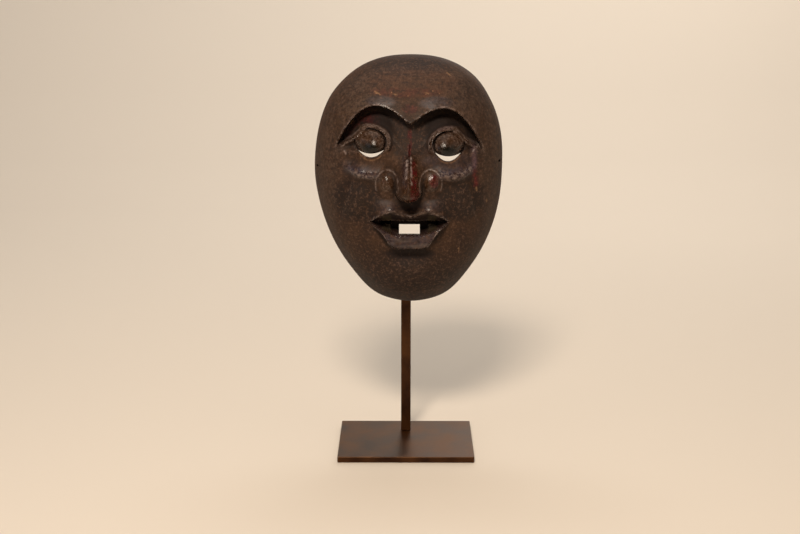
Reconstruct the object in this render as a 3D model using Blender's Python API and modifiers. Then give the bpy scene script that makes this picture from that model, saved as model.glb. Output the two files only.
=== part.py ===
"""A carved wooden theatre mask held up by its steel display stand.

Metres, +Z up. The origin is the centre of the base plate's underside, and the mask looks along -Y.
The mask's carving is worked out in carving millimetres on the face: u across from its centre line,
h up from its chin, and depth forward from the flat rim at its back.
"""

from math import atan2, pi, radians

import bmesh
import bpy
import numpy as np
from mathutils import Vector

# Gap between pieces that touch
CLEAR = 0.0003

# Base plate
PLATE_W = 0.110
PLATE_D = 0.080
PLATE_T = 0.005
PLATE_EDGE = 0.0005

# Square post, standing on the plate behind its middle
POST_SIZE = 0.008
POST_BACK = 0.020
POST_EDGE = 0.0005
POST_LAP = 0.038

# Round cradle bar behind the mask
CRADLE_R = 0.0025
CRADLE_RISE = 0.040
LEVEL_RUN = POST_SIZE * 1.5
ARM_INSET = 0.014
ARM_BEND = 0.35
HOOK_BELOW, HOOK_ABOVE, HOOK_LEAN = 0.010, 0.004, 0.002
PRONG_SAG = 0.006
PRONG_ANGLE = 58.0
PRONG_SEAT = 0.90
CRADLE_STEPS = 6

# Mask
CHIN_Z = 0.1212
MASK_X = 0.0026
MASK_H = 0.199
MASK_W = 0.1496
WALL = 0.008
TIE_HOLE_R = 0.001
MASK_TRIANGLES = 8300

# Where the post and the mask's rim stand, from the sizes above
RIM_Y = POST_BACK - POST_SIZE / 2 - CLEAR
POST_TOP = CHIN_Z + POST_LAP

# Carving, in carving millimetres: the mask is 199 of them tall, whatever its height is
CARVED_H = 199.0
MM = MASK_H / CARVED_H
WALL_MM = WALL / MM

# The egg-shaped outline, widest at WIDEST_H, a little squarer CHIN_CORNER_ANGLE degrees from its chin
WIDEST_H = 110.0
HALF_W = MASK_W / 2 / MM
CROWN_POWER = 2.35
CHIN_POWER = 1.89
CHIN_CORNER, CHIN_CORNER_ANGLE, CHIN_CORNER_SPREAD = 0.02, 16.5, 9.0
DOME = 51.0
DOME_POWER_CROWN = 2.6
DOME_POWER_CHIN = 3.3

# The middle line sways as it goes up the face: how far, and the height and length of each sway
CROWN_SWAY, CROWN_SWAY_H, CROWN_SWAY_L = 1.1, 165.0, 20.0
CHEEK_SWAY, CHEEK_SWAY_H, CHEEK_SWAY_L = -0.8, 108.0, 22.0
CHIN_SWAY, CHIN_SWAY_H = 1.2, 95.0

# The eye and brow on the picture's right are carved a little lower, turning over EYE_SKEW_W
EYE_SKEW = 1.0
EYE_SKEW_W = 10.0

# Brow: a sharp edge over a deep hollow, one arch each side that peaks at BROW_PEAK_U
BROW_END_H = 134.0
BROW_RISE = 29.3
BROW_PEAK_U = 26.0
BROW_REACH_IN = 36.8
BROW_REACH_OUT = 30.0
BROW_V_ROUND = 3.0
BROW_STEP_W = 2.2
BROW_BAND, BROW_BAND_W = 2.6, 9.0
BROW_TAIL_U, BROW_TAIL_L = 50.0, 8.0
HOLLOW, HOLLOW_FROM, HOLLOW_L = 8.5, 5.5, 14.0
SOCKET, SOCKET_FROM, SOCKET_L = 2.8, 20.0, 14.0
SOCKET_END_U, SOCKET_END_L = 45.0, 14.0
ROOT_FROM, ROOT_L = 2.0, 13.0
ROOT_SHARE = 0.35

# Eye: ball, lid ridge with its tail to the outer corner, and the pouch of the bag under it
EYE_U = 30.0
EYE_H = 136.8
BALL = (EYE_U, EYE_H - 0.6, 11.3, 9.2, 6.2)
BALL_ROUNDNESS = 0.47
BALL_GROOVE, BALL_GROOVE_W, BALL_GROOVE_OUT = -1.8, 0.9, 0.8
EYE_SWELL = (EYE_U, EYE_H - 2.0, 17.0, 14.0, 2.5)
LID = (EYE_U - 0.2, EYE_H - 1.2, 14.2, 11.7, 4.8)
LID_IN_W, LID_OUT_W = 1.9, 1.8
LID_FOOT_H, LID_FOOT_L = EYE_H - 9.0, 7.0
LID_END_U, LID_END_L = EYE_U + 6.0, 4.0
LID_TAIL = (
    (EYE_U + 4.0, EYE_H + 9.8),
    (EYE_U + 13.4, EYE_H + 1.2),
    (EYE_U + 22.4, EYE_H - 4.2),
)
LID_TAIL_W = 1.8
LID_TAIL_FALL, LID_TAIL_FALL_L = 0.55, 16.0
EYE_CORNER = (EYE_U + 14.5, EYE_H - 5.0, 7.5, 3.4, -3.2)
HOLLOW_FOOT = (
    (24.0, EYE_H - 14.0),
    (36.0, EYE_H + 1.0),
    (41.0, EYE_H + 1.0),
    (47.0, EYE_H - 2.8),
    (53.0, EYE_H - 7.6),
    (60.0, EYE_H - 11.0),
)
HOLLOW_FOOT_L = 5.0
BAG_OVAL = (EYE_U + 2.0, EYE_H - 10.0, 18.5, 16.3)
BAG, BAG_IN_W, BAG_OUT_W = 4.6, 9.0, 3.8
BAG_INNER_U, BAG_INNER_L = EYE_U - 15.0, 9.0
BAG_OUTER_H, BAG_OUTER_L = EYE_H - 14.0, 10.0

# See-through slit under each ball: its ends, and how far its edges sag between them
SLIT_IN = EYE_U - 10.8
SLIT_OUT = EYE_U + 9.6
SLIT_END_H = EYE_H - 8.0
SLIT_UPPER_SAG = 3.0
SLIT_LOWER_SAG = 6.2
SLIT_SKEW = 0.5
SLIT_TILT = 9.0
SLIT_CUT_DEPTH = 0.75 * DOME

# Nose: its ridge at each height above the tip, sharp near the root and round at the tip
NOSE_U = -0.6
NOSE_TIP_H = 99.5
NOSE_ROOT_H = NOSE_TIP_H + 44.0
NOSE_BASE_H = NOSE_TIP_H - 8.5
NOSE_RIDGE = (
    (0.0, 23.0),
    (5.0, 22.8),
    (11.0, 19.8),
    (18.0, 14.4),
    (26.0, 8.0),
    (33.0, 3.2),
    (39.0, 0.8),
    (44.0, 0.0),
)
NOSE_HALF = ((0.0, 10.6), (6.0, 11.2), (14.0, 12.4), (24.0, 13.0), (34.0, 11.5), (44.0, 8.0))
NOSE_TENT, NOSE_TENT_FOOT = 1.1, 1.45
NOSE_ROUND, NOSE_ROUND_FOOT = 1.8, 0.85
NOSE_ROUND_FROM, NOSE_ROUND_L = NOSE_TIP_H + 13.0, 15.0
NOSE_UNDER = 2.0

# The nostril wings beside it, each a low dome inside a thin ring
WING = (16.7, NOSE_TIP_H + 5.4, 8.7, 11.4, 3.4)
WING_ROUNDNESS = 1.0
WING_RING, WING_RING_W = 1.0, 0.7
BEAD = (16.7, NOSE_TIP_H + 6.2, 5.8, 7.2, 1.5)
BEAD_ROUNDNESS = 1.3

# Mouth, by the distance from its middle: the upper lip's edge, the floor and the lower lip's foot
LIP_H = 80.8
MOUTH_CORNER_H = LIP_H - 5.4
LIP_EDGE = (
    (0.0, LIP_H),
    (6.0, LIP_H + 1.0),
    (14.0, LIP_H + 3.9),
    (20.5, LIP_H + 1.6),
    (31.0, MOUTH_CORNER_H),
)
CAVITY_TOP = LIP_H - 4.8
CAVITY_FLOOR = LIP_H - 15.6
FLOOR_EDGE = (
    (0.0, CAVITY_FLOOR),
    (9.0, CAVITY_FLOOR + 0.2),
    (15.0, CAVITY_FLOOR + 1.6),
    (21.0, CAVITY_FLOOR + 4.6),
    (31.0, MOUTH_CORNER_H),
)
LOWER_LIP_BASE = LIP_H - 27.1
FOOT_EDGE = (
    (0.0, LOWER_LIP_BASE),
    (8.0, LOWER_LIP_BASE + 0.2),
    (13.0, LOWER_LIP_BASE + 1.9),
    (17.0, LOWER_LIP_BASE + 6.2),
    (21.0, LOWER_LIP_BASE + 11.8),
    (25.5, LOWER_LIP_BASE + 16.4),
    (31.0, MOUTH_CORNER_H - 0.8),
)
MOUTH_END_U, MOUTH_END_L = 26.5, 6.0
CAVITY_EDGE_W = 2.0
CAVITY_END_U, CAVITY_END_L = 20.0, 8.0
CAVITY = 11.0
UPPER_LIP, UPPER_LIP_W, UPPER_LIP_TUCK = 4.5, 4.0, 1.5
LOWER_LIP = 7.0
LOWER_LIP_EDGE_W = 1.8
LOWER_LIP_LEAN, LOWER_LIP_LEAN_L = 0.30, 11.0
LOWER_LIP_INSET = 0.4
TOOTH_IN, TOOTH_OUT, TOOTH_HIGH, TOOTH = 13.6, 21.5, LIP_H - 7.4, 5.0
TOOTH_EDGE_W = 1.3
MOUTH_OPENING_W = 16.2
MOUTH_OPENING_H = 7.4
MOUTH_OPENING_AT = LIP_H - 12.3
MOUTH_TILT = 11.6
MOUTH_CUT_DEPTH = 0.85 * DOME

# Soft forms on each side of the middle: u, h, half width, half height and rise
CHEEK = (42.0, 92.0, 15.0, 14.0, 3.0)
CHIN = (0.0, 31.0, 24.0, 17.0, 5.0)
UNDER_LIP = (0.0, LOWER_LIP_BASE - 5.0, 19.0, 7.0, -3.0)
PHILTRUM = (0.0, LIP_H + 6.5, 4.5, 5.5, -1.8)
LIP_LOBE = (19.0, LIP_H + 7.2, 9.5, 5.5, 3.0)
FOLD_LINE = ((26.0, 99.0), (36.0, 78.0))
FOLD, FOLD_W = -1.5, 7.0

# The same for the hollowed back: left thicker behind brows and mouth, dug deeper behind the nose
BACK_FORMS = (
    (BROW_PEAK_U + 4.0, BROW_END_H + 17.5, 26.0, 18.0, -9.5),
    (0.0, NOSE_TIP_H + 43.5, 19.0, 13.0, -8.0),
    (0.0, CAVITY_FLOOR + 6.8, 32.0, 13.0, -12.0),
    (0.0, NOSE_TIP_H + 8.5, 8.0, 12.0, 7.0),
    (0.0, 32.0, 20.0, 14.0, 3.0),
)
RELIEF_END, BACK_END = 0.86, 0.80
RELIEF_FADE, BACK_FADE = 0.12, 0.18

# Tie holes near the ears: height on the left and on the right, and how near the rim
TIE_LEFT_H = 114.0
TIE_RIGHT_H = 118.0
TIE_REACH = 0.955

SEGMENTS = 420
RINGS = 290


def smooth(x):
    """An eased step from 0 at x = 0 to 1 at x = 1."""
    x = np.clip(x, 0.0, 1.0)
    return x * x * (3.0 - 2.0 * x)


def bell(x):
    return np.exp(-x * x)


def through(x, stops):
    """The height at x of a smooth curve drawn through the stops."""
    at, height = np.array(stops).T
    slope = np.gradient(height, at)
    left = np.clip(np.searchsorted(at, x) - 1, 0, len(at) - 2)
    width = at[left + 1] - at[left]
    rise = height[left + 1] - height[left]
    start, end = slope[left] * width, slope[left + 1] * width
    t = np.clip((x - at[left]) / width, 0.0, 1.0)
    bend = 3.0 * rise - 2.0 * start - end
    return height[left] + t * (start + t * (bend + t * (start + end - 2.0 * rise)))


def oval(u, h, centre_u, centre_h, half_u, half_h):
    """Distance from an ellipse's centre, 1 on the ellipse."""
    return np.hypot((u - centre_u) / half_u, (h - centre_h) / half_h)


def mound(u, h, form):
    """A soft swelling or hollow: u, h, half width, half height and rise."""
    *where, rise = form
    return rise * bell(oval(u, h, *where))


def half_ball(u, h, form, roundness):
    """A ball's outer part standing on the same five sizes; more roundness softens its foot."""
    *where, rise = form
    return rise * np.clip(1.0 - oval(u, h, *where) ** 2, 0.0, None) ** roundness


def from_segment(u, h, start, end):
    """Distance to a straight segment, and how far along it the nearest point lies."""
    du, dh = end[0] - start[0], end[1] - start[1]
    along = np.clip(((u - start[0]) * du + (h - start[1]) * dh) / (du * du + dh * dh), 0.0, 1.0)
    return np.hypot(u - start[0] - along * du, h - start[1] - along * dh), along


def sway(h):
    """How far the face's middle line is carved to one side at a height."""
    crown = CROWN_SWAY * smooth((h - CROWN_SWAY_H) / CROWN_SWAY_L)
    cheeks = CHEEK_SWAY * bell((h - CHEEK_SWAY_H) / CHEEK_SWAY_L)
    return crown + cheeks + CHIN_SWAY * smooth((CHIN_SWAY_H - h) / CHIN_SWAY_H)


def outline_radius(angle):
    """From the middle of the face to the rim's outer edge."""
    upper = np.sin(angle) > 0.0
    half_h = np.where(upper, CARVED_H - WIDEST_H, WIDEST_H)
    power = np.where(upper, CROWN_POWER, CHIN_POWER)
    across = np.abs(np.cos(angle)) / HALF_W
    up = np.abs(np.sin(angle)) / half_h
    from_chin = np.degrees(np.arccos(-np.sin(angle)))
    corner = CHIN_CORNER * bell((from_chin - CHIN_CORNER_ANGLE) / CHIN_CORNER_SPREAD)
    return (across**power + up**power) ** (-1.0 / power) * (1.0 + corner)


def dome(reach, angle, rise):
    """A dome over the outline, standing square to the rim; reach is 1 at the rim."""
    power = DOME_POWER_CROWN + (DOME_POWER_CHIN - DOME_POWER_CROWN) * smooth(-np.sin(angle))
    return rise * np.sqrt(np.clip(1.0 - reach**power, 0.0, None))


def below_brow(u, h):
    """Distance below the brow's sharp edge; negative above it."""
    a = np.hypot(u, BROW_V_ROUND)
    reach = np.where(a < BROW_PEAK_U, BROW_REACH_IN, BROW_REACH_OUT)
    turn = (a - BROW_PEAK_U) / reach
    edge = BROW_END_H + BROW_RISE * (1.0 - turn**2)
    return (edge - h) / np.hypot(1.0, 2.0 * BROW_RISE * turn / reach)


def brow_relief(u, h):
    a = np.abs(u)
    below = below_brow(u, h)
    step = smooth(below / BROW_STEP_W)
    hollow = HOLLOW * (1.0 - smooth((below - HOLLOW_FROM) / HOLLOW_L))
    socket = SOCKET * (1.0 - smooth((below - SOCKET_FROM) / SOCKET_L))
    root = ROOT_SHARE + (1.0 - ROOT_SHARE) * smooth((a - ROOT_FROM) / ROOT_L)
    band = BROW_BAND * bell(below / BROW_BAND_W) * (1.0 - step)
    tail = 1.0 - smooth((a - BROW_TAIL_U) / BROW_TAIL_L)
    foot = smooth((h - through(a, HOLLOW_FOOT)) / HOLLOW_FOOT_L)
    socket *= 1.0 - smooth((a - SOCKET_END_U) / SOCKET_END_L)
    return tail * foot * (band - hollow * step * root) - socket * step


def eye_relief(u, h):
    a = np.abs(u)
    beyond_ball = (oval(a, h, *BALL[:4]) - 1.0) * BALL[2]
    groove = BALL_GROOVE * bell((beyond_ball - BALL_GROOVE_OUT) / BALL_GROOVE_W)
    beyond_lid = (oval(a, h, *LID[:4]) - 1.0) * LID[2]
    lid = LID[4] * bell((beyond_lid / np.where(beyond_lid < 0.0, LID_IN_W, LID_OUT_W)) ** 2)
    lid *= smooth((h - LID_FOOT_H) / LID_FOOT_L) * (1.0 - smooth((a - LID_END_U) / LID_END_L))
    away = np.minimum.reduce([from_segment(a, h, p, q)[0] for p, q in zip(LID_TAIL, LID_TAIL[1:])])
    tail = LID[4] * (1.0 - LID_TAIL_FALL * smooth((a - LID_END_U) / LID_TAIL_FALL_L))
    tail *= bell((away / LID_TAIL_W) ** 2)
    ball_or_lid = np.maximum(half_ball(a, h, BALL, BALL_ROUNDNESS), np.maximum(lid, tail))
    beyond_bag = (oval(a, h, *BAG_OVAL) - 1.0) * BAG_OVAL[3]
    bag = BAG * bell(beyond_bag / np.where(beyond_bag < 0.0, BAG_IN_W, BAG_OUT_W))
    bag *= smooth((a - BAG_INNER_U) / BAG_INNER_L) * smooth((BAG_OUTER_H - h) / BAG_OUTER_L)
    return mound(a, h, EYE_SWELL) + mound(a, h, EYE_CORNER) + ball_or_lid + groove + bag


def nose_relief(u, h):
    above = np.clip(h - NOSE_TIP_H, 0.0, NOSE_ROOT_H - NOSE_TIP_H)
    under = np.clip((NOSE_TIP_H - h) / (NOSE_TIP_H - NOSE_BASE_H), 0.0, 1.0)
    rounded = smooth((NOSE_ROUND_FROM - h) / NOSE_ROUND_L)
    side = np.clip(np.abs(u - NOSE_U) / through(above, NOSE_HALF), 0.0, 1.0)
    crest = NOSE_TENT + (NOSE_ROUND - NOSE_TENT) * rounded
    foot = NOSE_TENT_FOOT + (NOSE_ROUND_FOOT - NOSE_TENT_FOOT) * rounded
    section = np.clip(1.0 - side**crest - under**NOSE_UNDER, 0.0, None)
    return through(above, NOSE_RIDGE) * section**foot


def nostril_relief(u, h):
    a = np.abs(u - NOSE_U)
    beyond = (oval(a, h, *WING[:4]) - 1.0) * WING[2]
    ring = WING_RING * bell(beyond / WING_RING_W) * smooth((h - WING[1] + WING[3]) / WING[3])
    return half_ball(a, h, WING, WING_ROUNDNESS) + half_ball(a, h, BEAD, BEAD_ROUNDNESS) + ring


def mouth_lines(u):
    """Heights of the upper lip's edge and underside, the cavity's floor and the lower lip's foot."""
    a = np.abs(u)
    edge = through(a, LIP_EDGE)
    top = np.minimum(CAVITY_TOP, edge - CAVITY_EDGE_W / 2)
    return edge, top, through(a, FLOOR_EDGE), through(a, FOOT_EDGE)


def mouth_relief(u, h):
    a = np.abs(u)
    edge, top, floor, foot = mouth_lines(u)
    under = smooth((edge - h) / np.maximum(edge - top, CAVITY_EDGE_W))
    over = bell((h - edge) / UPPER_LIP_W)
    upper_lip = UPPER_LIP * np.where(h > edge, over, 1.0 - UPPER_LIP_TUCK * under)
    behind = UPPER_LIP * (1.0 - UPPER_LIP_TUCK) * smooth((h - floor) / CAVITY_EDGE_W)
    upper_lip = np.where(h > top, upper_lip, behind)
    inside = smooth((top - h) / CAVITY_EDGE_W) * smooth((h - floor) / CAVITY_EDGE_W)
    cavity = -CAVITY * inside * (1.0 - smooth((a - CAVITY_END_U) / CAVITY_END_L))
    tooth = TOOTH * smooth((a - TOOTH_IN) / TOOTH_EDGE_W) * smooth((TOOTH_OUT - a) / TOOTH_EDGE_W)
    tooth *= inside * smooth((TOOTH_HIGH - h) / TOOTH_EDGE_W)
    lean = 1.0 - LOWER_LIP_LEAN * smooth((h - foot) / LOWER_LIP_LEAN_L)
    lower_lip = LOWER_LIP * lean * smooth((h - foot) / LOWER_LIP_EDGE_W)
    lower_lip *= 1.0 - smooth((h - floor + LOWER_LIP_INSET) / CAVITY_EDGE_W)
    return (1.0 - smooth((a - MOUTH_END_U) / MOUTH_END_L)) * (upper_lip + cavity + tooth + lower_lip)


def soft_relief(u, h):
    """Cheeks, chin, the lobes over the upper lip, the groove between them and the folds beside."""
    a = np.abs(u)
    away, _ = from_segment(a, h, *FOLD_LINE)
    forms = (CHEEK, CHIN, UNDER_LIP, PHILTRUM, LIP_LOBE)
    return sum(mound(a, h, form) for form in forms) + FOLD * bell(away / FOLD_W)


def outer_depth(u, h, reach, angle):
    skewed = h + EYE_SKEW * np.tanh(u / EYE_SKEW_W)
    relief = brow_relief(u, skewed) + eye_relief(u, skewed) + nose_relief(u, h)
    relief += nostril_relief(u, h) + mouth_relief(u, h) + soft_relief(u, h)
    return dome(reach, angle, DOME) + relief * (1.0 - smooth((reach - RELIEF_END) / RELIEF_FADE))


def inner_depth(u, h, reach, angle):
    shape = sum(mound(np.abs(u), h, form) for form in BACK_FORMS)
    return dome(reach, angle, DOME - WALL_MM) + shape * (1.0 - smooth((reach - BACK_END) / BACK_FADE))


def on_face(reach, angle, inner=False):
    """Carving coordinates u, h and depth of a place on the outer or the inner surface."""
    radius = outline_radius(angle) - (WALL_MM if inner else 0.0)
    h = WIDEST_H + reach * radius * np.sin(angle)
    u = reach * radius * np.cos(angle) + sway(h)
    depth = inner_depth if inner else outer_depth
    return u, h, depth(u, h, reach, angle)


def to_world(u, h, depth):
    return Vector((MASK_X + MM * u, RIM_Y - MM * depth, CHIN_Z + MM * h))


def seat_and_normal(reach, angle, inner):
    """A place on the surface in world coordinates, and the unit normal out of the wood there."""
    step = 0.004
    here = to_world(*on_face(reach, angle, inner))
    further = to_world(*on_face(reach - step, angle, inner))
    round_it = to_world(*on_face(reach, angle + step, inner))
    normal = (here - further).cross(round_it - here).normalized()
    return here, -normal if inner else normal


def collection(name):
    made = bpy.data.collections.new(name)
    bpy.context.scene.collection.children.link(made)
    return made


def material(name, colour, roughness, metallic):
    made = bpy.data.materials.new(name)
    made.use_nodes = True
    shader = made.node_tree.nodes["Principled BSDF"]
    shader.inputs["Base Color"].default_value = (*colour, 1.0)
    shader.inputs["Roughness"].default_value = roughness
    shader.inputs["Metallic"].default_value = metallic
    made.diffuse_color = (*colour, 1.0)
    return made


def add_object(name, mesh, where, looks=None):
    made = bpy.data.objects.new(name, mesh)
    where.objects.link(made)
    if looks:
        mesh.materials.append(looks)
    return made


def box_mesh(name, width, depth, height):
    shape = bmesh.new()
    bmesh.ops.create_cube(shape, size=1.0)
    bmesh.ops.scale(shape, vec=(width, depth, height), verts=shape.verts)
    mesh = bpy.data.meshes.new(name)
    shape.to_mesh(mesh)
    shape.free()
    return mesh


def chamfer(target, width):
    bevel = target.modifiers.new("edges", "BEVEL")
    bevel.width = width
    bevel.segments = 1


def curve_to_mesh_object(name, curve, where, looks=None):
    """Turns a curve into a mesh object whose caps are welded to it."""
    source = bpy.data.objects.new(name + "_curve", curve)
    where.objects.link(source)
    graph = bpy.context.evaluated_depsgraph_get()
    mesh = bpy.data.meshes.new_from_object(source.evaluated_get(graph))
    mesh.name = name
    bpy.data.objects.remove(source)
    shape = bmesh.new()
    shape.from_mesh(mesh)
    bmesh.ops.remove_doubles(shape, verts=shape.verts, dist=1e-6)
    bmesh.ops.recalc_face_normals(shape, faces=shape.faces)
    shape.to_mesh(mesh)
    shape.free()
    return add_object(name, mesh, where, looks)


def prism(name, outline, thickness, where):
    """A flat outline in the XY plane, extruded half its thickness each way."""
    curve = bpy.data.curves.new(name, "CURVE")
    curve.dimensions = "2D"
    curve.fill_mode = "BOTH"
    curve.extrude = thickness / 2
    spline = curve.splines.new("POLY")
    spline.points.add(len(outline) - 1)
    for point, (x, y) in zip(spline.points, outline):
        point.co = (x, y, 0.0, 1.0)
    spline.use_cyclic_u = True
    return curve_to_mesh_object(name, curve, where)


def cut(target, cutter):
    cutter.hide_render = True
    cutter.display_type = "WIRE"
    boolean = target.modifiers.new(cutter.name, "BOOLEAN")
    boolean.operation = "DIFFERENCE"
    boolean.object = cutter


def smooth_path(stops, steps):
    """Points along a Catmull-Rom curve through the stops."""
    knots = [2 * stops[0] - stops[1], *stops, 2 * stops[-1] - stops[-2]]
    points = []
    for before, start, end, after in zip(knots, knots[1:], knots[2:], knots[3:]):
        for i in range(steps):
            t = i / steps
            points.append(
                0.5 * (2 * start + (end - before) * t)
                + 0.5 * (2 * before - 5 * start + 4 * end - after) * t**2
                + 0.5 * (3 * start - before - 3 * end + after) * t**3
            )
    points.append(stops[-1])
    return points


def make_base_plate(where, looks):
    plate = add_object("base_plate", box_mesh("base_plate", PLATE_W, PLATE_D, PLATE_T), where, looks)
    plate.location = (0.0, 0.0, PLATE_T / 2)
    chamfer(plate, PLATE_EDGE)


def make_post(where, looks):
    foot = PLATE_T + CLEAR
    post = add_object("post", box_mesh("post", POST_SIZE, POST_SIZE, POST_TOP - foot), where, looks)
    post.location = (0.0, POST_BACK, (POST_TOP + foot) / 2)
    chamfer(post, POST_EDGE)


def make_cradle(where, looks):
    """One bar across the post's top, its arms rising clear of eyes and mouth to prongs in the forehead."""
    bar_z = POST_TOP + CLEAR + CRADLE_R
    arm = MASK_W / 2 - WALL - ARM_INSET
    eyes_z = CHIN_Z + MM * EYE_H
    left_to_right = []
    for side in (-1.0, 1.0):
        angle = pi / 2 - side * radians(90.0 - PRONG_ANGLE)
        seat, normal = seat_and_normal(PRONG_SEAT, angle, inner=True)
        prong = seat + normal * (CRADLE_R + CLEAR)
        arm_x = MASK_X + side * arm
        stops = [
            Vector((side * LEVEL_RUN / 2, POST_BACK, bar_z)),
            Vector((side * LEVEL_RUN, POST_BACK, bar_z)),
            Vector((arm_x - side * arm * ARM_BEND, POST_BACK, bar_z + CRADLE_RISE / 4)),
            Vector((arm_x, POST_BACK, bar_z + CRADLE_RISE)),
            Vector((arm_x, POST_BACK, eyes_z - HOOK_BELOW)),
            Vector((arm_x - side * HOOK_LEAN, POST_BACK - HOOK_LEAN, eyes_z + HOOK_ABOVE)),
            (Vector((arm_x, POST_BACK, eyes_z)) + prong) / 2 + Vector((0.0, 0.0, PRONG_SAG)),
            prong,
        ]
        if side < 0.0:
            left_to_right += stops[::-1] + [Vector((0.0, POST_BACK, bar_z))]
        else:
            left_to_right += stops
    points = smooth_path(left_to_right, CRADLE_STEPS)
    curve = bpy.data.curves.new("cradle", "CURVE")
    curve.dimensions = "3D"
    curve.bevel_depth = CRADLE_R
    curve.bevel_resolution = 2
    curve.use_fill_caps = True
    spline = curve.splines.new("POLY")
    spline.points.add(len(points) - 1)
    for point, place in zip(spline.points, points):
        point.co = (*place, 1.0)
    cradle = curve_to_mesh_object("cradle", curve, where, looks)
    cradle.data.shade_smooth()


def slit_outline(side):
    """The crescent under an eyeball, in metres about the eye's middle; the far one hangs lower."""
    middle = (SLIT_IN + SLIT_OUT) / 2
    half = (SLIT_OUT - SLIT_IN) / 2
    end_h = SLIT_END_H - side * EYE_SKEW - EYE_H
    count = 12
    across = [-1.0 + 2.0 * i / count for i in range(count + 1)]
    lower = [(t * half, end_h - (SLIT_LOWER_SAG + SLIT_SKEW * side) * (1.0 - t * t)) for t in across]
    upper = [(t * half, end_h - SLIT_UPPER_SAG * (1.0 - t * t)) for t in reversed(across[1:-1])]
    return [((side * (middle - EYE_U) + x) * MM, y * MM) for x, y in lower + upper]


def make_mask(where, cutters, looks):
    shape = bmesh.new()
    bmesh.ops.create_uvsphere(shape, u_segments=SEGMENTS, v_segments=RINGS, radius=1.0)
    ball_points = np.array([v.co[:] for v in shape.verts])
    from_front = np.arccos(np.clip(ball_points[:, 2], -1.0, 1.0))
    angle = np.arctan2(ball_points[:, 1], ball_points[:, 0])
    inner = from_front > pi / 2 + 0.5 * pi / RINGS
    rim_step = pi / RINGS
    back = np.clip((pi - from_front) / (pi / 2 - rim_step), 0.0, 1.0) * pi / 2
    reach = np.where(inner, np.sin(back), np.sin(np.minimum(from_front, pi / 2)))
    outside = on_face(reach, angle)
    inside = on_face(reach, angle, inner=True)
    for i, vert in enumerate(shape.verts):
        u, h, depth = (axis[i] for axis in (inside if inner[i] else outside))
        vert.co = to_world(u, h, depth)
    bmesh.ops.triangulate(shape, faces=shape.faces)
    mesh = bpy.data.meshes.new("mask")
    shape.to_mesh(mesh)
    shape.free()
    mask = add_object("mask", mesh, where, looks)

    for name, side in (("slit_left", -1.0), ("slit_right", 1.0)):
        slit = prism(name, slit_outline(side), 4 * DOME * MM, cutters)
        slit.location = to_world(side * EYE_U, EYE_H, SLIT_CUT_DEPTH)
        slit.rotation_euler = (pi / 2 - radians(SLIT_TILT), 0.0, 0.0)
        cut(mask, slit)

    opening = add_object(
        "mouth_opening",
        box_mesh("mouth_opening", MOUTH_OPENING_W * MM, 2 * DOME * MM, MOUTH_OPENING_H * MM),
        cutters,
    )
    opening.location = to_world(0.0, MOUTH_OPENING_AT, MOUTH_CUT_DEPTH)
    opening.rotation_euler = (-radians(MOUTH_TILT), 0.0, 0.0)
    cut(mask, opening)

    for name, side, height in (("tie_left", -1.0, TIE_LEFT_H), ("tie_right", 1.0, TIE_RIGHT_H)):
        angle_there = atan2(height - WIDEST_H, side * HALF_W)
        seat, normal = seat_and_normal(TIE_REACH, angle_there, inner=False)
        drill = bmesh.new()
        bmesh.ops.create_cone(
            drill, cap_ends=True, segments=10, radius1=TIE_HOLE_R, radius2=TIE_HOLE_R, depth=4 * WALL
        )
        drill_mesh = bpy.data.meshes.new(name)
        drill.to_mesh(drill_mesh)
        drill.free()
        hole = add_object(name, drill_mesh, cutters)
        hole.rotation_mode = "QUATERNION"
        hole.rotation_quaternion = normal.to_track_quat("Z", "Y")
        hole.location = seat
        cut(mask, hole)

    thin = mask.modifiers.new("facets", "DECIMATE")
    thin.ratio = MASK_TRIANGLES / (2.0 * SEGMENTS * RINGS)


def main():
    for old in list(bpy.context.scene.objects):
        bpy.data.objects.remove(old)
    parts = collection("theatre_mask")
    cutters = collection("cutters")
    steel = material("patinated_steel", (0.012, 0.009, 0.007), 0.35, 0.6)
    wood = material("patinated_wood", (0.030, 0.020, 0.014), 0.45, 0.0)
    make_base_plate(parts, steel)
    make_post(parts, steel)
    make_cradle(parts, steel)
    make_mask(parts, cutters, wood)


main()
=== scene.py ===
"""A carved wooden theatre mask on its steel display stand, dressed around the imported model."""
from math import atan2, pi, radians

import bpy
import numpy as np
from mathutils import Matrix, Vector, noise


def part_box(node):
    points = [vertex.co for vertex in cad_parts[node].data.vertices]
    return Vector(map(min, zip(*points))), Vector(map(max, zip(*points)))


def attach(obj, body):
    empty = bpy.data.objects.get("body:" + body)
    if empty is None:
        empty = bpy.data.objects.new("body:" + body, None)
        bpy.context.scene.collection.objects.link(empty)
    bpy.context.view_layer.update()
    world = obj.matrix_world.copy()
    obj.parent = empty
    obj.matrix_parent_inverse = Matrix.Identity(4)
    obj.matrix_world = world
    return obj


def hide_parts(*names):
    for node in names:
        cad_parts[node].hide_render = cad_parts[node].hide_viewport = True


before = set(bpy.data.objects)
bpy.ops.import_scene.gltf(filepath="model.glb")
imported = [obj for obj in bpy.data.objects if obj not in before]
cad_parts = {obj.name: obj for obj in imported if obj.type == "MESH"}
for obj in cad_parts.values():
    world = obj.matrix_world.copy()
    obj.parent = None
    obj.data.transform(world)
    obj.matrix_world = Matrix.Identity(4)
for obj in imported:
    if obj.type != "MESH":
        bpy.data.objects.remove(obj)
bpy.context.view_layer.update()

# The view is from a metre in front of the stand and a little above it, through a slightly long lens.
# One soft light hangs in front and above, weak ones fill the sides and the back, and one behind the
# mask keeps the pale floor and backdrop bright without greying the dark wood.
SENSOR_MM = 36.0
PHOTO_W = 800
FOCAL_PIXELS = 1271.0
CAMERA_AT = (0.0, -0.9892, 0.4058)
CAMERA_DOWN = radians(14.386)
CAMERA_LEFT = radians(0.28)
MASK_MIDDLE = (0.0, 0.0, 0.23)
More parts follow.
